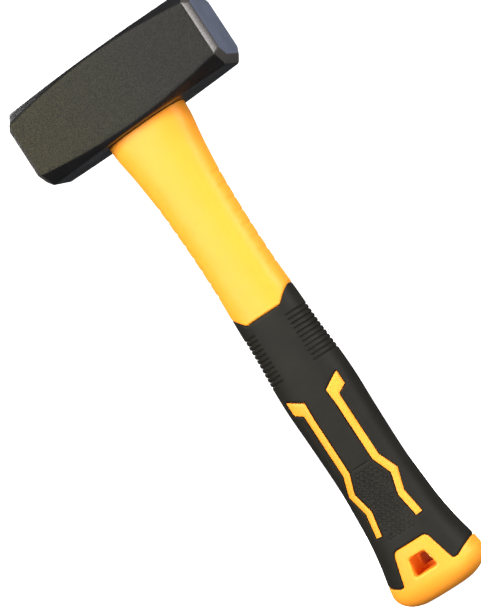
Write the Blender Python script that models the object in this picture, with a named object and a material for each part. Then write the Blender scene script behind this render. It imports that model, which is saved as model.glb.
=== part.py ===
"""Double-faced club hammer, about 1 kg, with a fibreglass-cored plastic handle and a rubber grip.

Frame: metres. The origin is the centre of the flat under the butt, +Z runs up the handle to the head,
+X runs along the head to one striking face, and -Y is the front cheek.
All the sizes below are in millimetres and pass through MM when a mesh is made.
"""
import math

import bmesh
import bpy

MM = 0.001
GAP = 0.3                      # clearance kept between neighbouring solids

# Head
HEAD_LENGTH = 107.0            # striking face to striking face, along X
HEAD_SIDE = 40.0               # the section is square
HEAD_BOTTOM = 258.0
HEAD_TOP = HEAD_BOTTOM + HEAD_SIDE
HEAD_MIDDLE = HEAD_BOTTOM + HEAD_SIDE / 2
FACE_BEVEL_LENGTH = 2.9        # bevel round each striking face, measured along the head
FACE_BEVEL_DEPTH = 3.7         # the same bevel, measured across the head
CORNER_END = (8.0, 6.05)       # long corner chamfer beside the bevel, across the cheek and down the side
CORNER_WAIST = 1.6             # what is left of that chamfer at mid-length
CORNER_POWER = 1.9             # how the chamfer grows from waist to end
CORNER_STEPS = 6

# Eye: an oval hole through the head that flares towards the top
EYE_BOTTOM = (15.0, 10.5)      # half-length along X, half-width along Y
EYE_TOP = (16.6, 12.0)
EYE_SEGMENTS = 36

# Handle, half-width along X and half-thickness along Y at heights above the butt
HANDLE_STATIONS = [
    (10.5, 24.2, 17.0), (16.4, 23.2, 16.8), (25.6, 21.2, 16.1), (38.0, 19.4, 14.7), (50.0, 18.6, 13.6),
    (66.0, 17.75, 13.3), (90.0, 18.1, 13.4), (108.0, 18.6, 13.5), (123.0, 18.2, 13.3), (137.0, 17.3, 13.0),
    (155.0, 16.7, 12.8), (171.0, 16.0, 12.3), (190.0, 15.9, 12.1), (207.0, 16.3, 12.1), (221.5, 17.0, 12.3),
    (231.0, 17.9, 12.6), (240.5, 19.0, 12.9), (250.0, 20.5, 13.1), (257.7, 21.0, 13.2),
]
SECTION_POWER = 2.6            # superellipse exponent of the handle's sections
HANDLE_SEGMENTS = 36
LEVEL_STEP = 8.0
COLLAR_TOP = HEAD_BOTTOM - GAP
BUTT_WIDEST = HANDLE_STATIONS[0][0]
BUTT_ROUND = (13.0, 9.0)       # how far the butt's rounded edge comes in along X and Y, down to the flat
BUTT_STEPS = 6

# Tang, which fills the eye, and the resin round it
TANG = (13.4, 9.0)
FILL_TOP = HEAD_TOP - 0.8

# Fibreglass core
CORE = (6.6, 4.8)
CORE_BOTTOM = 31.0
CORE_SEGMENTS = 24

# Rubber grip
GRIP_THICKNESS = 2.5
GRIP_TOP = 152.8               # height of the straight middle of its upper edge
GRIP_TOP_HALF = 9.5            # half-length of that straight middle
GRIP_TOP_SLOPE = 1.0           # rise of the upper edge towards the sides
TONGUE_TOP = 28.7
TONGUE_TOP_HALF = 9.1
TONGUE_FOOT = (13.7, 12.4)     # where the side of the tongue meets the grip's lowest edge
TONGUE_RADIUS = 3.0
LEG_BOTTOM_HALF = 16.0         # outer end of the grip's lowest edge
LEG_RADIUS = 1.1
LEG_SLOPE = 0.48               # rise of the lower edge towards the sides
OUTSIDE = 30.0                 # a half-width that clears the whole handle

# One zigzag stripe, as (x, z) corners from its top point, down the outer edge and back up the inner edge
STRIPE = [
    (14.6, 113.5), (14.6, 106.0), (10.2, 103.4), (10.2, 70.3), (13.9, 60.8), (11.0, 50.2), (13.0, 37.8),
    (9.6, 37.6), (7.4, 49.8), (10.1, 60.4), (6.4, 70.0), (6.4, 100.0), (5.9, 108.2),
]

# Hanging hole through the butt
HOLE_BOTTOM = 13.6
HOLE_TOP = 22.5
HOLE_HALF_BOTTOM = 6.5
HOLE_HALF_TOP = 4.3
HOLE_RADIUS = 1.3
HOLE_STEP = 1.7                # how much the hole's rear half is smaller, all round


def clear_scene():
    for item in list(bpy.data.objects):
        bpy.data.objects.remove(item, do_unlink=True)


def material(name, colour, roughness, metallic=0.0):
    result = bpy.data.materials.new(name)
    result.use_nodes = True
    shader = result.node_tree.nodes["Principled BSDF"]
    shader.inputs["Base Color"].default_value = (*colour, 1.0)
    shader.inputs["Roughness"].default_value = roughness
    shader.inputs["Metallic"].default_value = metallic
    return result


def add_object(name, mesh_data, look=None, smooth_angle=None):
    """Link a bmesh as an object; without a material it is a cutter."""
    bmesh.ops.recalc_face_normals(mesh_data, faces=mesh_data.faces)
    mesh = bpy.data.meshes.new(name)
    mesh_data.to_mesh(mesh)
    mesh_data.free()
    if smooth_angle is not None:
        mesh.shade_smooth()
        mesh.set_sharp_from_angle(angle=math.radians(smooth_angle))
    result = bpy.data.objects.new(name, mesh)
    bpy.context.scene.collection.objects.link(result)
    if look is None:
        result.hide_render = True
        result.display_type = "WIRE"
    else:
        mesh.materials.append(look)
    return result


def combine(target, tool, operation):
    step = target.modifiers.new(operation.lower() + "_" + tool.name, "BOOLEAN")
    step.operation = operation
    step.solver = "EXACT"
    step.object = tool


def oval(height, half_x, half_y, segments, power=2.0):
    """Corners of a superellipse at one height, in millimetres."""
    points = []
    for index in range(segments):
        angle = 2 * math.pi * (index + 0.5) / segments
        x = math.copysign(abs(math.cos(angle)) ** (2 / power), math.cos(angle))
        y = math.copysign(abs(math.sin(angle)) ** (2 / power), math.sin(angle))
        points.append((half_x * x, half_y * y, height))
    return points


def loft(rings):
    """Skin rings of equal length into one closed solid with flat ends."""
    result = bmesh.new()
    rows = [[result.verts.new([MM * value for value in point]) for point in ring] for ring in rings]
    count = len(rows[0])
    for low, high in zip(rows, rows[1:]):
        for index in range(count):
            after = (index + 1) % count
            result.faces.new((low[index], low[after], high[after], high[index]))
    result.faces.new(list(reversed(rows[0])))
    result.faces.new(rows[-1])
    return result


def prism(outline, depth=OUTSIDE):
    """Extrude an outline in the XZ plane through the handle, along Y."""
    return loft([[(x, y, z) for x, z in outline] for y in (-depth, depth)])


def mirrored(points):
    """The same outline on the other side of the handle."""
    return [(-x, z) for x, z in reversed(points)]


def fillet(before, corner, after, radius, steps=4):
    """Points of an arc that rounds one corner of an outline."""
    def unit(target):
        length = math.dist(corner, target)
        return ((target[0] - corner[0]) / length, (target[1] - corner[1]) / length)

    first = unit(before)
    second = unit(after)
    half = math.acos(first[0] * second[0] + first[1] * second[1]) / 2
    middle = (first[0] + second[0], first[1] + second[1])
    reach = radius / math.sin(half) / math.hypot(*middle)
    centre = (corner[0] + middle[0] * reach, corner[1] + middle[1] * reach)
    trim = radius / math.tan(half)
    start = (corner[0] + first[0] * trim, corner[1] + first[1] * trim)
    stop = (corner[0] + second[0] * trim, corner[1] + second[1] * trim)
    angle = math.atan2(start[1] - centre[1], start[0] - centre[0])
    sweep = math.atan2(stop[1] - centre[1], stop[0] - centre[0]) - angle
    sweep = (sweep + math.pi) % (2 * math.pi) - math.pi
    angles = [angle + sweep * step / steps for step in range(steps + 1)]
    return [(centre[0] + radius * math.cos(a), centre[1] + radius * math.sin(a)) for a in angles]


def offset(outline, distance):
    """Move every edge of a counter-clockwise outline outwards by a distance."""
    result = []
    count = len(outline)
    for index in range(count):
        before = outline[index - 1]
        corner = outline[index]
        after = outline[(index + 1) % count]
        first = edge_normal(before, corner)
        second = edge_normal(corner, after)
        scale = distance / (1 + first[0] * second[0] + first[1] * second[1])
        result.append((corner[0] + (first[0] + second[0]) * scale, corner[1] + (first[1] + second[1]) * scale))
    return result


def edge_normal(start, stop):
    length = math.dist(start, stop)
    return ((stop[1] - start[1]) / length, (start[0] - stop[0]) / length)


def handle_size(height):
    """Half-width and half-thickness of the handle, by a cubic through the stations."""
    last = len(HANDLE_STATIONS) - 1
    index = 0
    while index < last - 1 and height > HANDLE_STATIONS[index + 1][0]:
        index += 1
    low = HANDLE_STATIONS[index]
    high = HANDLE_STATIONS[index + 1]
    before = HANDLE_STATIONS[max(index - 1, 0)]
    after = HANDLE_STATIONS[min(index + 2, last)]
    span = high[0] - low[0]
    t = (height - low[0]) / span
    sizes = []
    for axis in (1, 2):
        slope_low = (high[axis] - before[axis]) / (high[0] - before[0]) * span
        slope_high = (after[axis] - low[axis]) / (after[0] - low[0]) * span
        blend = (2 * t ** 3 - 3 * t ** 2 + 1) * low[axis] + (t ** 3 - 2 * t ** 2 + t) * slope_low
        blend += (3 * t ** 2 - 2 * t ** 3) * high[axis] + (t ** 3 - t ** 2) * slope_high
        sizes.append(blend)
    return sizes


def handle_ring(height, inset=0.0):
    half_x, half_y = handle_size(height)
    return oval(height, half_x - inset, half_y - inset, HANDLE_SEGMENTS, SECTION_POWER)


def levels(low, high):
    count = max(1, round((high - low) / LEVEL_STEP))
    return [low + (high - low) * index / count for index in range(count + 1)]


def butt_rings():
    """The rounded lower edge of the butt, from its flat up to its widest level."""
    half_x, half_y = handle_size(BUTT_WIDEST)
    rings = []
    for step in range(BUTT_STEPS):
        angle = math.pi / 2 * (1 - step / BUTT_STEPS)
        share = 1 - math.cos(angle)
        size = (half_x - BUTT_ROUND[0] * share, half_y - BUTT_ROUND[1] * share)
        height = BUTT_WIDEST * (1 - math.sin(angle))
        rings.append(oval(height, *size, HANDLE_SEGMENTS, SECTION_POWER))
    return rings


def head_section(x, half, chamfer):
    """An octagon across the head, as points at one X."""
    across, down = chamfer
    quarter = [(half, half - down), (half - across, half)]
    outline = quarter + [(-y, z) for y, z in reversed(quarter)]
    outline += [(-y, -z) for y, z in outline]
    return [(x, y, HEAD_MIDDLE + z) for y, z in outline]


def head_block():
    shoulder = HEAD_LENGTH / 2 - FACE_BEVEL_LENGTH
    half = HEAD_SIDE / 2
    shrink = FACE_BEVEL_DEPTH * (2 - math.sqrt(2))
    face_corner = (CORNER_END[0] - shrink, CORNER_END[1] - shrink)
    sections = [head_section(-HEAD_LENGTH / 2, half - FACE_BEVEL_DEPTH, face_corner)]
    for step in range(-CORNER_STEPS, CORNER_STEPS + 1):
        growth = (abs(step) / CORNER_STEPS) ** CORNER_POWER
        chamfer = [CORNER_WAIST + (end - CORNER_WAIST) * growth for end in CORNER_END]
        sections.append(head_section(shoulder * step / CORNER_STEPS, half, chamfer))
    sections.append(head_section(HEAD_LENGTH / 2, half - FACE_BEVEL_DEPTH, face_corner))
    return loft(sections)


def eye_size(height, inset=0.0):
    share = (height - HEAD_BOTTOM) / HEAD_SIDE
    return [low + (high - low) * share - inset for low, high in zip(EYE_BOTTOM, EYE_TOP)]


def eye_solid(low, high, inset=0.0):
    return loft([oval(height, *eye_size(height, inset), EYE_SEGMENTS) for height in (low, high)])


def make_head():
    look = material("textured_steel", (0.075, 0.08, 0.072), 0.55, 0.0)
    head = add_object("steel_head", head_block(), look, smooth_angle=12)
    combine(head, add_object("eye_cutter", eye_solid(HEAD_BOTTOM - 1, HEAD_TOP + 1)), "DIFFERENCE")


def make_resin():
    look = material("eye_epoxy", (0.45, 0.36, 0.2), 0.35)
    ring = add_object("eye_resin", eye_solid(HEAD_BOTTOM, FILL_TOP, GAP), look, smooth_angle=30)
    tang_room = [oval(z, TANG[0] + GAP, TANG[1] + GAP, EYE_SEGMENTS) for z in (HEAD_BOTTOM - 1, HEAD_TOP)]
    combine(ring, add_object("tang_cutter", loft(tang_room)), "DIFFERENCE")


def make_core():
    look = material("core_fibreglass", (0.75, 0.72, 0.6), 0.45)
    rings = [oval(z, *CORE, CORE_SEGMENTS) for z in levels(CORE_BOTTOM, FILL_TOP)[::4] + [FILL_TOP]]
    add_object("fibreglass_core", loft(rings), look, smooth_angle=30)


def grip_outline():
    """Right half of the grip's outline, seen from the front, then its mirror image."""
    side_top = GRIP_TOP + (OUTSIDE - GRIP_TOP_HALF) * GRIP_TOP_SLOPE
    side_bottom = TONGUE_FOOT[1] + (OUTSIDE - LEG_BOTTOM_HALF) * LEG_SLOPE
    tongue = (TONGUE_TOP_HALF, TONGUE_TOP)
    leg = (LEG_BOTTOM_HALF, TONGUE_FOOT[1])
    right = fillet((0, TONGUE_TOP), tongue, TONGUE_FOOT, TONGUE_RADIUS)
    right += fillet(tongue, TONGUE_FOOT, leg, LEG_RADIUS)
    right += [leg, (OUTSIDE, side_bottom), (OUTSIDE, side_top), (GRIP_TOP_HALF, GRIP_TOP)]
    return right + mirrored(right)


def stripe_outlines(growth):
    right = offset(list(reversed(STRIPE)), growth)
    return [right, mirrored(right)]


def grip_space(name, clearance):
    """A cutter: everything outside the liner and inside the grip's edges, less the stripes."""
    space = add_object(name, prism(offset(grip_outline(), -clearance)))
    inset = GRIP_THICKNESS - clearance
    liner_rings = [handle_ring(z, inset) for z in levels(BUTT_WIDEST, GRIP_TOP + OUTSIDE)]
    combine(space, add_object(name + "_liner", loft(liner_rings)), "DIFFERENCE")
    for side, outline in zip(("right", "left"), stripe_outlines(clearance)):
        combine(space, add_object(name + "_stripe_" + side, prism(outline)), "DIFFERENCE")
    return space


def hanging_hole(name, inset, front, rear):
    """A cutter for one half of the hole, between two Y planes."""
    corners = offset([
        (-HOLE_HALF_BOTTOM, HOLE_BOTTOM), (HOLE_HALF_BOTTOM, HOLE_BOTTOM),
        (HOLE_HALF_TOP, HOLE_TOP), (-HOLE_HALF_TOP, HOLE_TOP),
    ], -inset)
    outline = []
    for index, corner in enumerate(corners):
        outline += fillet(corners[index - 1], corner, corners[(index + 1) % len(corners)], HOLE_RADIUS)
    return add_object(name, loft([[(x, y, z) for x, z in outline] for y in (front, rear)]))


def make_handle():
    look = material("orange_polypropylene", (0.95, 0.42, 0.05), 0.4)
    rings = butt_rings()
    rings += [handle_ring(z) for z in levels(BUTT_WIDEST, COLLAR_TOP)]
    rings += [oval(z, *TANG, HANDLE_SEGMENTS) for z in (COLLAR_TOP, FILL_TOP)]
    shell = add_object("handle_shell", loft(rings), look, smooth_angle=30)
    combine(shell, grip_space("grip_recess", 0.0), "DIFFERENCE")
    bore = [oval(z, CORE[0] + GAP, CORE[1] + GAP, CORE_SEGMENTS) for z in (CORE_BOTTOM - GAP, HEAD_TOP)]
    combine(shell, add_object("core_bore", loft(bore)), "DIFFERENCE")
    combine(shell, hanging_hole("hole_front", 0.0, -OUTSIDE, 0.0), "DIFFERENCE")
    combine(shell, hanging_hole("hole_rear", HOLE_STEP, -1.0, OUTSIDE), "DIFFERENCE")


def make_grip():
    look = material("black_rubber", (0.03, 0.03, 0.028), 0.7)
    low = BUTT_WIDEST
    high = GRIP_TOP + 3 * GRIP_TOP_HALF
    grip = add_object("rubber_grip", loft([handle_ring(z) for z in levels(low, high)]), look, smooth_angle=30)
    combine(grip, grip_space("grip_fill", GAP), "INTERSECT")


clear_scene()
make_head()
make_resin()
make_core()
make_handle()
make_grip()
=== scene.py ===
"""Looks of a double-faced club hammer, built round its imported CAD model.

The handle stands on the origin along +Z and the head lies along X, with its front cheek towards -Y.
Sizes are in millimetres until a mesh is made. The CAD model's own sizes are repeated where pieces follow it.
"""
import math

import bmesh
import bpy
import numpy as np
from mathutils import Matrix, Vector


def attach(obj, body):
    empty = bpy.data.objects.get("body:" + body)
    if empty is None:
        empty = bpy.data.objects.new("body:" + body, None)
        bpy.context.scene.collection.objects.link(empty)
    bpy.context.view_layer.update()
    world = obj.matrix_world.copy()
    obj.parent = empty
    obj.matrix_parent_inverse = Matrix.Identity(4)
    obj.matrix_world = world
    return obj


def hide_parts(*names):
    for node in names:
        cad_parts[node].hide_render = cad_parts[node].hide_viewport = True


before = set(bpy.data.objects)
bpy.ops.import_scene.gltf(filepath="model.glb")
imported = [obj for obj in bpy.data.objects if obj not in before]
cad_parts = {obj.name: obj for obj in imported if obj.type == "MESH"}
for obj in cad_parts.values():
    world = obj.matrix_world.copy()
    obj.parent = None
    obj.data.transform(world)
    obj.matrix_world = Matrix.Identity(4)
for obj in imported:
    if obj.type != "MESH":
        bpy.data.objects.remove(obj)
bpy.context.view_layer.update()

MM = 0.001
FINE = 1.0      # share of the full mesh density

# Camera: where it looks from, and how far the photograph is turned
FOCAL_LENGTH = 147.0
CAMERA_YAW = math.radians(16.26)       # from the front cheek towards the right face
CAMERA_PITCH = math.radians(2.75)
CAMERA_ROLL = math.radians(33.13)
CAMERA_DISTANCE = 1166.0
AIM_HEIGHT = 162.7
AIM_ASIDE = -9.6

# Head
HEAD_LENGTH = 107.0
HEAD_SIDE = 40.0
HEAD_BOTTOM = 258.0
HEAD_TOP = HEAD_BOTTOM + HEAD_SIDE
HEAD_MIDDLE = HEAD_BOTTOM + HEAD_SIDE / 2
FACE_BEVEL_LENGTH = 2.9
FACE_BEVEL_DEPTH = 3.7
CORNER_END = (8.0, 6.05)
CORNER_WAIST = 1.6
CORNER_POWER = 1.9
EDGE_RADIUS = 0.8
HEAD_SECTIONS = 41                     # cross-sections between the two face bevels
CORNER_POINTS = 3                      # mesh points along a chamfer and along a flat of one section
FLAT_POINTS = 12
CHEEK_FACING = 0.95                    # a face turned at least this much to the front or rear is a cheek
EYE_BOTTOM = (15.0, 10.5)
EYE_TOP = (16.6, 12.0)
EYE_SEGMENTS = 96

# Handle: height, half-width along X, half-thickness along Y
HANDLE_STATIONS = np.array([
    (10.5, 24.2, 17.0), (16.4, 23.2, 16.8), (25.6, 21.2, 16.1), (38.0, 19.4, 14.7), (50.0, 18.6, 13.6),
    (66.0, 17.75, 13.3), (90.0, 18.1, 13.4), (108.0, 18.6, 13.5), (123.0, 18.2, 13.3), (137.0, 17.3, 13.0),
    (155.0, 16.7, 12.8), (171.0, 16.0, 12.3), (190.0, 15.9, 12.1), (207.0, 16.3, 12.1), (221.5, 17.0, 12.3),
    (231.0, 17.9, 12.6), (240.5, 19.0, 12.9), (250.0, 20.5, 13.1), (257.7, 21.0, 13.2),
])
SECTION_POWER = 2.6
COLLAR_TOP = 257.7
BUTT_WIDEST = 10.5
BUTT_ROUND = (13.0, 9.0)
TANG = (13.4, 9.0)
FILL_TOP = HEAD_TOP - 0.8
CORE_ROOM = (6.9, 5.1)
CORE_ROOM_BOTTOM = 30.7
SHELL_SEGMENTS = 220
SHELL_BANDS = [(BUTT_WIDEST, 32.0, 0.5), (32.0, 150.0, 1.0), (150.0, COLLAR_TOP, 0.6)]  # from, to, step

# Grip outline and stripes, as in the CAD model
SEAM = 0.2                             # half the groove between rubber and plastic
SHELL_EDGE = 0.5                       # radii of the rounded edges of plastic, rubber and hanging hole
RUBBER_EDGE = 0.55
HOLE_EDGE = 1.1
RUBBER_INSET = 0.12                    # how far the rubber's surface lies below the plastic's
GRIP_THICKNESS = 2.5
GRIP_TOP = 152.8
GRIP_TOP_HALF = 9.5
GRIP_TOP_SLOPE = 1.0
TONGUE_TOP = 28.7
TONGUE_TOP_HALF = 9.1
TONGUE_FOOT = (13.7, 12.4)
TONGUE_RADIUS = 3.0
LEG_BOTTOM_HALF = 16.0
LEG_RADIUS = 1.1
LEG_SLOPE = 0.48
OUTSIDE = 30.0
STRIPE = [
    (14.6, 113.5), (14.6, 106.0), (10.2, 103.4), (10.2, 70.3), (13.9, 60.8), (11.0, 50.2), (13.0, 37.8),
    (9.6, 37.6), (7.4, 49.8), (10.1, 60.4), (6.4, 70.0), (6.4, 100.0), (5.9, 108.2),
]
STRIPE_CORNER = 0.5
HOLE = [(-6.5, 13.6), (6.5, 13.6), (4.3, 22.5), (-4.3, 22.5)]
HOLE_RADIUS = 1.3
HOLE_STEP = 1.7                        # how much the hole's rear half is smaller, all round

GRIP_SEGMENTS = 250
GRIP_BANDS = [
    (BUTT_WIDEST, 31.0, 0.6), (31.0, 71.5, 0.33), (71.5, 120.5, 0.6),
    (120.5, 149.0, 0.3), (149.0, 180.0, 0.7),
]

# Relief on the grip and neck
RIB_COUNT = 11
RIB_TOP = 147.0
RIB_PITCH = 2.43
RIB_INNER = 9.2                        # where the grooves between the ribs start on the front
RIB_DEPTH = 0.55
RIB_HALF = 0.62
CELL_PITCH = 2.6
CELL_ROW = CELL_PITCH * 0.866          # height of one row of hexagons
CELL_RADIUS = 0.95                     # centre to flat of the engraved hexagon
CELL_LINE = 0.34
CELL_DEPTH = 0.3
CELL_LOW = 33.0
CELL_HIGH = 68.5
CELL_ROOM = [(37.6, 9.3), (49.8, 7.2), (60.4, 9.8), (70.0, 6.2)]      # height, half-width between the stripes
CELL_MARGIN = 0.6
LINE_RISE = 1.7                        # cross line above the hexagons
LINE_REACH = 4.2
LINE_GROOVE = (0.45, 0.3)              # half-width and depth
FLANK_X = 12.0                         # long line outside each stripe
FLANK_ENDS = (73.0, 101.5)
FLANK_GROOVE = (0.4, 0.22)
HATCH_REACH = 4.5                      # fine hatching between the stripes
HATCH_ENDS = (76.0, 93.0)
HATCH_PITCH = 1.3
HATCH_DEPTH = 0.035
NECK_GROOVES = [172.0 + 7.0 * step for step in range(8)]
NECK_GROOVE_DEPTH = 0.35
NECK_GROOVE_HALF = 1.3
NECK_GROOVE_START = 0.86               # share of the half-width where the neck's grooves start
NECK_GROOVE_FADE = 0.1


# ---------------------------------------------------------------- outlines

def mirrored(points):
    return [(-x, z) for x, z in reversed(points)]


def fillet(before, corner, after, radius, steps=8):
    """Points of an arc that rounds one corner of an outline."""
    before, corner, after = (np.array(point, float) for point in (before, corner, after))
    first = (before - corner) / np.linalg.norm(before - corner)
    second = (after - corner) / np.linalg.norm(after - corner)
    half = math.acos(float(first @ second)) / 2
    middle = (first + second) / np.linalg.norm(first + second)
    centre = corner + middle * radius / math.sin(half)
    start = corner + first * radius / math.tan(half) - centre
    stop = corner + second * radius / math.tan(half) - centre
    angle = math.atan2(start[1], start[0])
    sweep = math.atan2(stop[1], stop[0]) - angle
    sweep = (sweep + math.pi) % (2 * math.pi) - math.pi
    angles = [angle + sweep * step / steps for step in range(steps + 1)]
    return [(centre[0] + radius * math.cos(a), centre[1] + radius * math.sin(a)) for a in angles]


def rounded(corners, radius, steps=4):
    result = []
    for index, corner in enumerate(corners):
        result += fillet(corners[index - 1], corner, corners[(index + 1) % len(corners)], radius, steps)
    return result


def offset(outline, distance):
    """Move every edge of a counter-clockwise outline outwards by a distance."""
    points = np.array(outline, float)
    along = np.roll(points, -1, axis=0) - points
    along /= np.linalg.norm(along, axis=1)[:, None]
    normal = np.stack([along[:, 1], -along[:, 0]], axis=1)
    before = np.roll(normal, 1, axis=0)
    scale = distance / (1 + (normal * before).sum(axis=1))
    return [tuple(point) for point in points + (normal + before) * scale[:, None]]


def grip_outline():
    side_top = GRIP_TOP + (OUTSIDE - GRIP_TOP_HALF) * GRIP_TOP_SLOPE
    side_bottom = TONGUE_FOOT[1] + (OUTSIDE - LEG_BOTTOM_HALF) * LEG_SLOPE
    tongue = (TONGUE_TOP_HALF, TONGUE_TOP)
    leg = (LEG_BOTTOM_HALF, TONGUE_FOOT[1])
    shoulder = (GRIP_TOP_HALF, GRIP_TOP)
    right = fillet((0, TONGUE_TOP), tongue, TONGUE_FOOT, TONGUE_RADIUS)
    right += fillet(tongue, TONGUE_FOOT, leg, LEG_RADIUS)
    right += [leg, (OUTSIDE, side_bottom), (OUTSIDE, side_top)]
    right += fillet((OUTSIDE, side_top), shoulder, (0, GRIP_TOP), 1.5, 4)
    return right + mirrored(right)


def stripe_outlines():
    right = rounded(list(reversed(STRIPE)), STRIPE_CORNER)
    return [right, mirrored(right)]


def distance_to(outlines, x, z):
    """Distance of many points from the nearest edge of some closed outlines."""
    nearest = np.full(x.shape, 1e9)
    for outline in outlines:
        for start, stop in zip(outline, outline[1:] + outline[:1]):
            run = (stop[0] - start[0], stop[1] - start[1])
            length = run[0] ** 2 + run[1] ** 2
            share = np.clip(((x - start[0]) * run[0] + (z - start[1]) * run[1]) / length, 0, 1)
            gap = np.hypot(x - start[0] - share * run[0], z - start[1] - share * run[1])
            nearest = np.minimum(nearest, gap)
    return nearest


# ---------------------------------------------------------------- meshes

def make_object(name, points, faces, materials):
    """An object from points in millimetres."""
    mesh = bpy.data.meshes.new(name)
    mesh.from_pydata((np.asarray(points, float) * MM).tolist(), [], faces)
    for look in materials:
        mesh.materials.append(look)
    result = bpy.data.objects.new(name, mesh)
    bpy.context.scene.collection.objects.link(result)
    return result


def skin(name, rings, materials=()):
    """A closed solid from rings of equal length, with flat ends."""
    rings = np.asarray(rings, float)
    rows, count = rings.shape[:2]
    faces = []
    for row in range(rows - 1):
        low = row * count
        high = low + count
        for index in range(count):
            after = (index + 1) % count
            faces.append((low + index, low + after, high + after, high + index))
    faces.append(tuple(reversed(range(count))))
    faces.append(tuple(range((rows - 1) * count, rows * count)))
    return make_object(name, rings.reshape(-1, 3), faces, materials)


def prism(name, outline, depth=OUTSIDE):
    """An outline in the XZ plane, extruded along Y."""
    result = skin(name, [[(x, y, z) for x, z in outline] for y in (-depth, depth)])
    face_outwards(result)
    return result


def face_outwards(item):
    data = bmesh.new()
    data.from_mesh(item.data)
    bmesh.ops.recalc_face_normals(data, faces=data.faces)
    data.to_mesh(item.data)
    data.free()


def bake(item):
    """Replace an object's mesh by what its modifiers make of it."""
    graph = bpy.context.evaluated_depsgraph_get()
    mesh = bpy.data.meshes.new_from_object(item.evaluated_get(graph))
    item.modifiers.clear()
    item.data = mesh


def cut(target, tool, operation="DIFFERENCE"):
    """Apply a Boolean and throw the tool away."""
    step = target.modifiers.new("cut", "BOOLEAN")
    step.operation = operation
    step.solver = "EXACT"
    step.object = tool
    bake(target)
    bpy.data.objects.remove(tool, do_unlink=True)


def smooth(item, angle):
    item.data.shade_smooth()
    item.data.set_sharp_from_angle(angle=math.radians(angle))


def oval(height, half_x, half_y, segments, power=2.0):
    """A superellipse at one height, with its points evenly spaced round it."""
    angle = np.linspace(0, 2 * math.pi, 16 * segments + 1)
    x = half_x * np.sign(np.cos(angle)) * np.abs(np.cos(angle)) ** (2 / power)
    y = half_y * np.sign(np.sin(angle)) * np.abs(np.sin(angle)) ** (2 / power)
    run = np.append(0, np.cumsum(np.hypot(np.diff(x), np.diff(y))))
    stops = run[-1] * (np.arange(segments) + 0.5) / segments
    level = np.full(segments, float(height))
    return np.stack([np.interp(stops, run, x), np.interp(stops, run, y), level], axis=1)


def handle_size(height):
    """Half-width and half-thickness of the handle, by a cubic through the stations."""
    heights = HANDLE_STATIONS[:, 0]
    last = len(heights) - 1
    index = int(np.clip(np.searchsorted(heights, height) - 1, 0, last - 1))
    low = HANDLE_STATIONS[index]
    high = HANDLE_STATIONS[index + 1]
    before = HANDLE_STATIONS[max(index - 1, 0)]
    after = HANDLE_STATIONS[min(index + 2, last)]
    span = high[0] - low[0]
    t = (height - low[0]) / span
    slope_low = (high[1:] - before[1:]) / (high[0] - before[0]) * span
    slope_high = (after[1:] - low[1:]) / (after[0] - low[0]) * span
    blend = (2 * t ** 3 - 3 * t ** 2 + 1) * low[1:] + (t ** 3 - 2 * t ** 2 + t) * slope_low
    return blend + (3 * t ** 2 - 2 * t ** 3) * high[1:] + (t ** 3 - t ** 2) * slope_high


def handle_rings(heights, segments, inset=0.0):
    rings = []
    for height in heights:
        half_x, half_y = handle_size(height) - inset
        rings.append(oval(height, half_x, half_y, segments, SECTION_POWER))
    return np.array(rings)


def spread(low, high, step):
    """Evenly spaced heights, about a step apart."""
    count = max(1, round((high - low) * FINE / step))
    return np.linspace(low, high, count + 1)[:-1]


def ring_heights(bands):
    """Heights of the mesh rings through some bands, up to the end of the last one."""
    return np.concatenate([spread(*band) for band in bands] + [[bands[-1][1]]])


def push_in(rings, depth):
    """Move points towards the handle's axis, square to its section."""
    x = rings[..., 0]
    y = rings[..., 1]
    half_x = np.abs(x).max(axis=-1, keepdims=True)
    half_y = np.abs(y).max(axis=-1, keepdims=True)
    normal_x = np.sign(x) * np.abs(x / half_x) ** (SECTION_POWER - 1) / half_x
    normal_y = np.sign(y) * np.abs(y / half_y) ** (SECTION_POWER - 1) / half_y
    length = np.hypot(normal_x, normal_y)
    result = rings.copy()
    result[..., 0] = x - depth * normal_x / length
    result[..., 1] = y - depth * normal_y / length
    return result


def edge_drop(distance, radius):
    """How far a rounded edge has dropped at a distance from it."""
    inside = np.clip(radius - distance, 0, radius)
    return radius - np.sqrt(radius ** 2 - inside ** 2)


def groove(distance, half, depth):
    """A round-bottomed groove, from the distance to its middle line."""
    share = np.clip(distance / half, 0, 1)
    return depth * (1 - share ** 2) ** 2


# ---------------------------------------------------------------- materials

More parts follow.
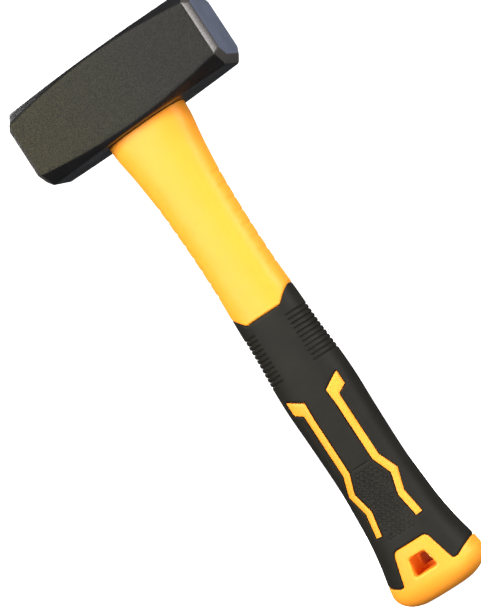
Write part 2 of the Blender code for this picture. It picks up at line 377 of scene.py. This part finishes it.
class Look:
    """A Principled material whose colour, roughness and bump are built from procedural nodes."""

    def __init__(self, name, roughness, metallic=0.0, **fixed):
        self.material = bpy.data.materials.new(name)
        self.material.use_nodes = True
        self.nodes = self.material.node_tree.nodes
        self.links = self.material.node_tree.links
        self.shader = self.nodes["Principled BSDF"]
        self.shader.inputs["Roughness"].default_value = roughness
        self.shader.inputs["Metallic"].default_value = metallic
        for socket, value in fixed.items():
            self.shader.inputs[socket.replace("_", " ")].default_value = value
        self.place = self.nodes.new("ShaderNodeTexCoord").outputs["Object"]
        self.height = None

    def stretched(self, scale):
        node = self.nodes.new("ShaderNodeMapping")
        node.inputs["Scale"].default_value = scale
        self.links.new(self.place, node.inputs["Vector"])
        return node.outputs["Vector"]

    def noise(self, size, detail=2.0, stretch=None):
        """Noise whose blobs are about a given size in millimetres."""
        node = self.nodes.new("ShaderNodeTexNoise")
        node.inputs["Scale"].default_value = 1 / (size * MM)
        node.inputs["Detail"].default_value = detail
        self.links.new(self.stretched(stretch) if stretch else self.place, node.inputs["Vector"])
        return node.outputs["Fac"]

    def spread_over(self, value, low, high, to_low=0.0, to_high=1.0):
        node = self.nodes.new("ShaderNodeMapRange")
        for socket, number in zip(("From Min", "From Max", "To Min", "To Max"), (low, high, to_low, to_high)):
            node.inputs[socket].default_value = number
        self.links.new(value, node.inputs["Value"])
        return node.outputs["Result"]

    def mix(self, share, first, second):
        node = self.nodes.new("ShaderNodeMix")
        node.data_type = "RGBA"
        self.links.new(share, node.inputs["Factor"])
        for socket, colour in ((node.inputs[6], first), (node.inputs[7], second)):
            if isinstance(colour, tuple):
                socket.default_value = (*colour, 1.0)
            else:
                self.links.new(colour, socket)
        return node.outputs[2]

    def along(self, axis):
        """One coordinate of the place, in metres."""
        node = self.nodes.new("ShaderNodeSeparateXYZ")
        self.links.new(self.place, node.inputs["Vector"])
        return node.outputs[axis]

    def colour(self, value):
        self.links.new(value, self.shader.inputs["Base Color"])

    def roughness(self, value):
        self.links.new(value, self.shader.inputs["Roughness"])

    def bump(self, value, depth, strength=1.0):
        """Add relief of a depth in millimetres on top of what is there."""
        node = self.nodes.new("ShaderNodeBump")
        node.inputs["Strength"].default_value = strength
        node.inputs["Distance"].default_value = depth * MM
        self.links.new(value, node.inputs["Height"])
        if self.height is not None:
            self.links.new(self.height, node.inputs["Normal"])
        self.height = node.outputs["Normal"]
        self.links.new(self.height, self.shader.inputs["Normal"])


def coated_steel():
    look = Look("powder_coated_steel", 0.6, Specular_IOR_Level=0.15)
    grain = look.noise(0.42, 3.0)
    patches = look.noise(14.0, 2.0)
    dark = look.mix(patches, (0.003, 0.003, 0.0025), (0.006, 0.006, 0.004))
    # Painted light: the coat's flecks turn lighter and olive towards the -X end of the head, the side the key
    # lamp is on; the flecks themselves are the coat's own.
    painted_light_along_head = look.spread_over(look.along("X"), -0.05, 0.03)
    light = look.mix(painted_light_along_head, (0.041, 0.038, 0.018), (0.024, 0.024, 0.022))
    look.colour(look.mix(look.spread_over(grain, 0.38, 0.66), dark, light))
    look.roughness(look.spread_over(grain, 0.3, 0.7, 0.5, 0.7))
    look.bump(look.noise(5.0, 2.0), 0.25, 0.5)
    look.bump(grain, 0.16, 0.8)
    return look.material


def painted_steel():
    """The smoother paint on the head's top, underside and chamfers."""
    look = Look("smooth_painted_steel", 0.3, Specular_IOR_Level=0.45)
    clouds = look.noise(9.0, 3.0)
    look.colour(look.mix(clouds, (0.004, 0.004, 0.0045), (0.010, 0.010, 0.011)))
    look.roughness(look.spread_over(clouds, 0.3, 0.7, 0.24, 0.38))
    look.bump(look.noise(3.0, 3.0), 0.15, 0.5)
    look.bump(look.noise(0.5, 2.0), 0.03, 0.5)
    return look.material


def ground_steel():
    """The striking faces: ground flat, then lacquered."""
    look = Look("lacquered_face", 0.4, Specular_IOR_Level=0.4)
    marks = look.noise(0.35, 3.0, (1.0, 6.0, 0.4))
    stains = look.noise(7.0, 4.0)
    shade = look.mix(stains, (0.052, 0.061, 0.090), (0.082, 0.093, 0.130))
    look.colour(look.mix(look.spread_over(marks, 0.35, 0.75, 0.0, 0.45), shade, (0.14, 0.15, 0.18)))
    look.roughness(look.spread_over(stains, 0.3, 0.7, 0.28, 0.42))
    look.bump(marks, 0.03, 0.6)
    return look.material


def bevel_steel():
    """The turned bevel round each striking face."""
    look = Look("face_bevel", 0.4, 0.3)
    marks = look.noise(0.5, 3.0, (5.0, 0.5, 0.5))
    look.colour(look.mix(look.spread_over(marks, 0.3, 0.7), (0.038, 0.035, 0.031), (0.075, 0.069, 0.061)))
    look.roughness(look.spread_over(marks, 0.3, 0.7, 0.26, 0.4))
    look.bump(marks, 0.04, 0.6)
    return look.material


def orange_plastic():
    look = Look("orange_polypropylene", 0.46, Specular_IOR_Level=0.25, Subsurface_Weight=0.12,
                Subsurface_Scale=0.0015)
    clouds = look.noise(22.0, 3.0)
    look.colour(look.mix(look.spread_over(clouds, 0.3, 0.7), (0.97, 0.33, 0.024), (0.98, 0.35, 0.032)))
    look.roughness(look.spread_over(look.noise(3.0, 3.0), 0.3, 0.7, 0.42, 0.54))
    look.bump(look.noise(9.0, 1.0), 0.12, 0.35)
    look.bump(look.noise(0.35, 2.0), 0.02, 0.5)
    return look.material


def shaded_plastic():
    """The same plastic inside the hanging hole, with painted shade: a deeper red-orange stands in for the
    light that reaches it only off other orange walls.
    """
    look = Look("orange_polypropylene_hole_painted_shade", 0.6, Specular_IOR_Level=0.15)
    look.colour(look.mix(look.noise(6.0, 3.0), (0.85, 0.085, 0.004), (0.92, 0.13, 0.008)))
    look.bump(look.noise(0.5, 2.0, (1.0, 0.2, 1.0)), 0.05, 0.6)
    return look.material


def black_rubber():
    look = Look("black_rubber", 0.6, Specular_IOR_Level=0.13)
    clouds = look.noise(12.0, 3.0)
    grain = look.noise(0.3, 3.0)
    soft = look.mix(look.spread_over(clouds, 0.3, 0.7), (0.008, 0.0075, 0.0055), (0.012, 0.011, 0.008))
    look.colour(look.mix(look.spread_over(grain, 0.4, 0.7, 0.0, 0.6), soft, (0.020, 0.019, 0.016)))
    look.roughness(look.spread_over(grain, 0.3, 0.7, 0.5, 0.72))
    look.bump(grain, 0.05, 0.7)
    return look.material


def resin():
    look = Look("amber_epoxy", 0.2, Coat_Weight=0.3)
    look.colour(look.mix(look.noise(2.5, 4.0), (0.20, 0.13, 0.05), (0.36, 0.27, 0.13)))
    look.bump(look.noise(1.6, 3.0), 0.15, 0.6)
    return look.material


def glass_fibre():
    look = Look("glass_fibre_rod", 0.45)
    strands = look.noise(0.3, 2.0, (1.0, 1.0, 0.05))
    look.colour(look.mix(look.spread_over(strands, 0.3, 0.7), (0.50, 0.46, 0.34), (0.80, 0.78, 0.68)))
    look.bump(strands, 0.05, 0.6)
    return look.material


# ---------------------------------------------------------------- head

def side_points(start, stop, count):
    share = np.arange(count)[:, None] / count
    return np.array(start) + (np.array(stop) - np.array(start)) * share


def head_section(x, half, chamfer):
    """An octagon across the head at one X, with points along every side."""
    across, down = chamfer
    corners = [(half, half - down), (half - across, half)]
    corners += [(-y, z) for y, z in reversed(corners)]
    corners += [(-y, -z) for y, z in corners]
    counts = (CORNER_POINTS, FLAT_POINTS) * 4
    sides = [
        side_points(corner, corners[(index + 1) % 8], counts[index])
        for index, corner in enumerate(corners)
    ]
    outline = np.concatenate(sides)
    return np.column_stack([np.full(len(outline), x), outline[:, 0], outline[:, 1] + HEAD_MIDDLE])


def corner_at(x):
    shoulder = HEAD_LENGTH / 2 - FACE_BEVEL_LENGTH
    growth = min(abs(x) / shoulder, 1.0) ** CORNER_POWER
    return [CORNER_WAIST + (end - CORNER_WAIST) * growth for end in CORNER_END]


def build_head():
    shoulder = HEAD_LENGTH / 2 - FACE_BEVEL_LENGTH
    half = HEAD_SIDE / 2
    shrink = FACE_BEVEL_DEPTH * (2 - math.sqrt(2))
    face_corner = (CORNER_END[0] - shrink, CORNER_END[1] - shrink)
    sections = [head_section(-HEAD_LENGTH / 2, half - FACE_BEVEL_DEPTH, face_corner)]
    sections += [head_section(x, half, corner_at(x)) for x in np.linspace(-shoulder, shoulder, HEAD_SECTIONS)]
    sections.append(head_section(HEAD_LENGTH / 2, half - FACE_BEVEL_DEPTH, face_corner))
    head = skin("hammer_head", sections, [coated_steel(), ground_steel(), bevel_steel(), painted_steel()])
    face_outwards(head)
    for face in head.data.polygons:
        reach = abs(face.center.x) / MM
        if reach > HEAD_LENGTH / 2 - 0.1:
            face.material_index = 1
        elif reach > shoulder:
            face.material_index = 2
        elif abs(face.normal.y) < CHEEK_FACING:
            face.material_index = 3
    rounding = head.modifiers.new("rounding", "BEVEL")
    rounding.width = EDGE_RADIUS * MM
    rounding.segments = 3
    rounding.limit_method = "ANGLE"
    rounding.angle_limit = math.radians(14)
    bake(head)
    eye = [oval(z, *eye_size(z), EYE_SEGMENTS) for z in (HEAD_BOTTOM - 1, HEAD_TOP + 1)]
    cut(head, skin("eye_tool", eye))
    smooth(head, 35)
    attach(head, "root")
    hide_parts("steel_head")


def eye_size(height):
    share = (height - HEAD_BOTTOM) / HEAD_SIDE
    return [low + (high - low) * share for low, high in zip(EYE_BOTTOM, EYE_TOP)]


# ---------------------------------------------------------------- handle

def grip_space(clearance):
    """Everything outside the liner and inside the grip's edges, less the stripes."""
    space = prism("grip_space", offset(grip_outline(), -clearance))
    heights = ring_heights([(BUTT_WIDEST, GRIP_TOP + OUTSIDE, 6.0)])
    liner = handle_rings(heights, 72, GRIP_THICKNESS - clearance)
    cut(space, skin("liner", liner))
    for outline in stripe_outlines():
        cut(space, prism("stripe_tool", offset(outline, clearance)))
    return space


def butt_rings(segments):
    half_x, half_y = handle_size(BUTT_WIDEST)
    rings = []
    for angle in np.linspace(math.pi / 2, 0, 19)[:-1]:
        share = 1 - math.cos(angle)
        size = (half_x - BUTT_ROUND[0] * share, half_y - BUTT_ROUND[1] * share)
        rings.append(oval(BUTT_WIDEST * (1 - math.sin(angle)), *size, segments, SECTION_POWER))
    return np.array(rings)


def hole_outline(inset=0.0):
    return rounded(offset(HOLE, -inset), HOLE_RADIUS, 6)


def hole_tool(inset, front, rear, look):
    """A cutter for one half of the hanging hole, between two Y planes."""
    outline = hole_outline(inset)
    tool = skin("hole_tool", [[(x, y, z) for x, z in outline] for y in (front, rear)], [look])
    face_outwards(tool)
    return tool


def shell_relief(rings):
    """Rounded edges at the rubber and at the hanging hole, and the grooves on the neck's sides."""
    x = rings[..., 0]
    z = rings[..., 2]
    depth = edge_drop(distance_to([grip_outline()] + stripe_outlines(), x, z) - SEAM, SHELL_EDGE)
    front_edge = distance_to([hole_outline()], x, z)
    rear_edge = distance_to([hole_outline(HOLE_STEP)], x, z)
    depth = np.maximum(depth, edge_drop(np.where(rings[..., 1] < 0, front_edge, rear_edge), HOLE_EDGE))
    half_x = np.abs(x).max(axis=-1, keepdims=True)
    side = np.clip((np.abs(x) / half_x - NECK_GROOVE_START) / NECK_GROOVE_FADE, 0, 1)
    for height in NECK_GROOVES:
        dip = groove(np.abs(z - height), NECK_GROOVE_HALF, NECK_GROOVE_DEPTH)
        depth = np.maximum(depth, side * dip)
    return push_in(rings, depth)


def build_shell(look, painted_shade_in_hole):
    segments = round(SHELL_SEGMENTS * FINE)
    outer = np.concatenate([butt_rings(segments), handle_rings(ring_heights(SHELL_BANDS), segments)])
    outer = shell_relief(outer)
    tang = np.array([oval(z, *TANG, segments) for z in (COLLAR_TOP, FILL_TOP)])
    shell = skin("plastic_handle", np.concatenate([outer, tang]), [look])
    cut(shell, grip_space(-SEAM))
    cut(shell, skin("core_tool", [oval(z, *CORE_ROOM, 48) for z in (CORE_ROOM_BOTTOM, HEAD_TOP)]))
    # The hole's walls take the copy of the plastic with painted shade.
    cut(shell, hole_tool(0.0, -OUTSIDE, 0.0, painted_shade_in_hole))
    cut(shell, hole_tool(HOLE_STEP, -1.0, OUTSIDE, painted_shade_in_hole))
    smooth(shell, 40)
    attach(shell, "root")
    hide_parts("handle_shell")


def grip_relief(rings):
    """Ribs, hexagons, fine lines and rounded edges of the rubber."""
    x = rings[..., 0]
    z = rings[..., 2]
    depth = edge_drop(distance_to([grip_outline()] + stripe_outlines(), x, z) - SEAM, RUBBER_EDGE)
    for index in range(RIB_COUNT):
        height = RIB_TOP - RIB_PITCH * index
        gap = np.hypot(np.clip(RIB_INNER - np.abs(x), 0, None), z - height)
        depth = np.maximum(depth, groove(gap, RIB_HALF, RIB_DEPTH))
    row = np.round((z - CELL_LOW) / CELL_ROW)
    shift = (row % 2) * CELL_PITCH / 2
    column = np.round((x - shift) / CELL_PITCH)
    cell_x = column * CELL_PITCH + shift
    cell_z = CELL_LOW + row * CELL_ROW
    room = stripe_room(cell_x, cell_z)
    cell = groove(np.abs(hexagon(x - cell_x, z - cell_z) - CELL_RADIUS), CELL_LINE, CELL_DEPTH)
    inside = (cell_z > CELL_LOW) & (cell_z < CELL_HIGH) & room
    depth = np.maximum(depth, np.where(inside, cell, 0))
    line = groove(np.abs(z - CELL_HIGH - LINE_RISE), *LINE_GROOVE)
    depth = np.maximum(depth, np.where(np.abs(x) < LINE_REACH, line, 0))
    past_end = np.clip(np.maximum(FLANK_ENDS[0] - z, z - FLANK_ENDS[1]), 0, None)
    depth = np.maximum(depth, groove(np.hypot(np.abs(x) - FLANK_X, past_end), *FLANK_GROOVE))
    hatched = (np.abs(x) < HATCH_REACH) & (z > HATCH_ENDS[0]) & (z < HATCH_ENDS[1])
    depth = depth + np.where(hatched, HATCH_DEPTH * (1 + np.cos(z * 2 * math.pi / HATCH_PITCH)), 0)
    return push_in(rings, depth)


def hexagon(x, z):
    """Distance from a hexagon's centre, measured square to its nearest flat."""
    slanted = np.abs(x) * 0.5 + np.abs(z) * math.sqrt(0.75)
    return np.maximum(np.abs(x), slanted)


def stripe_room(x, z):
    """True between the two stripes, clear of both."""
    heights, widths = zip(*CELL_ROOM)
    return np.abs(x) < np.interp(z, heights, widths) - CELL_RADIUS - CELL_MARGIN


def build_grip(look):
    segments = round(GRIP_SEGMENTS * FINE)
    outer = push_in(grip_relief(handle_rings(ring_heights(GRIP_BANDS), segments)), RUBBER_INSET)
    grip = skin("rubber_sleeve", outer, [look])
    cut(grip, grip_space(SEAM), "INTERSECT")
    smooth(grip, 40)
    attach(grip, "root")
    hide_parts("rubber_grip")


def dress(node, look):
    """Give a CAD node that stays its finished material."""
    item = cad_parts[node]
    item.data.materials.clear()
    item.data.materials.append(look)


# ---------------------------------------------------------------- stage, lights and camera

def glowing(name, colour, strength):
    look = bpy.data.materials.new(name)
    look.use_nodes = True
    shader = look.node_tree.nodes["Principled BSDF"]
    shader.inputs["Base Color"].default_value = (*colour, 1.0)
    shader.inputs["Emission Color"].default_value = (*colour, 1.0)
    shader.inputs["Emission Strength"].default_value = strength
    return look


def build_stage():
    """A white floor and backdrop that the camera sees but that add no light to the hammer."""
    white = glowing("white_paper", (0.97, 0.97, 0.97), 1.2)
    bpy.ops.mesh.primitive_plane_add(size=8, location=(0, 0, -0.0005))
    floor = bpy.context.object
    floor.name = "floor"
    bpy.ops.mesh.primitive_uv_sphere_add(radius=3.9, segments=48, ring_count=24)
    backdrop = bpy.context.object
    backdrop.name = "backdrop"
    for item in (floor, backdrop):
        item.data.materials.append(white)
        item.visible_diffuse = False
        item.visible_glossy = False
        item.visible_shadow = False
        item.visible_transmission = False


def light(name, position, target, size, power, colour):
    data = bpy.data.lights.new(name, "AREA")
    data.shape = "RECTANGLE"
    data.size, data.size_y = size
    data.energy = power
    data.color = colour
    item = bpy.data.objects.new(name, data)
    item.location = position
    item.rotation_euler = (Vector(target) - Vector(position)).to_track_quat("-Z", "Y").to_euler()
    bpy.context.scene.collection.objects.link(item)


def build_lights():
    middle = (0, 0, 0.16)
    light("key", (-0.55, -1.15, 0.7), middle, (0.8, 0.8), 36.0, (1.0, 0.97, 0.92))
    light("right_fill", (1.2, -0.35, 0.65), middle, (0.5, 1.3), 31.0, (0.97, 0.96, 1.0))
    light("low_fill", (0.5, -1.1, -0.3), middle, (0.7, 0.7), 7.0, (1.0, 0.97, 0.92))
    light("back_fill", (-0.7, 1.2, 0.9), middle, (0.9, 0.9), 22.0, (1.0, 1.0, 1.0))
    world = bpy.data.worlds.new("studio")
    world.use_nodes = True
    world.node_tree.nodes["Background"].inputs["Color"].default_value = (0.9, 0.95, 1.0, 1.0)
    world.node_tree.nodes["Background"].inputs["Strength"].default_value = 0.08
    bpy.context.scene.world = world
    bpy.context.scene.view_settings.view_transform = "Standard"


def build_camera():
    forward = Vector((
        -math.sin(CAMERA_YAW) * math.cos(CAMERA_PITCH),
        math.cos(CAMERA_YAW) * math.cos(CAMERA_PITCH),
        math.sin(CAMERA_PITCH),
    ))
    level = Vector((math.cos(CAMERA_YAW), math.sin(CAMERA_YAW), 0))
    upright = level.cross(forward)
    right = math.cos(CAMERA_ROLL) * level - math.sin(CAMERA_ROLL) * upright
    up = math.sin(CAMERA_ROLL) * level + math.cos(CAMERA_ROLL) * upright
    aim = Vector((0, 0, AIM_HEIGHT)) + AIM_ASIDE * level
    place = (aim - CAMERA_DISTANCE * forward) * MM
    data = bpy.data.cameras.new("camera")
    data.lens = FOCAL_LENGTH
    data.sensor_width = 36.0
    camera = bpy.data.objects.new("camera", data)
    camera.matrix_world = Matrix.Translation(place) @ Matrix((right, up, -forward)).transposed().to_4x4()
    bpy.context.scene.collection.objects.link(camera)
    bpy.context.scene.camera = camera


build_camera()
build_stage()
build_lights()
build_head()
build_shell(orange_plastic(), shaded_plastic())
build_grip(black_rubber())
dress("eye_resin", resin())
dress("fibreglass_core", glass_fibre())
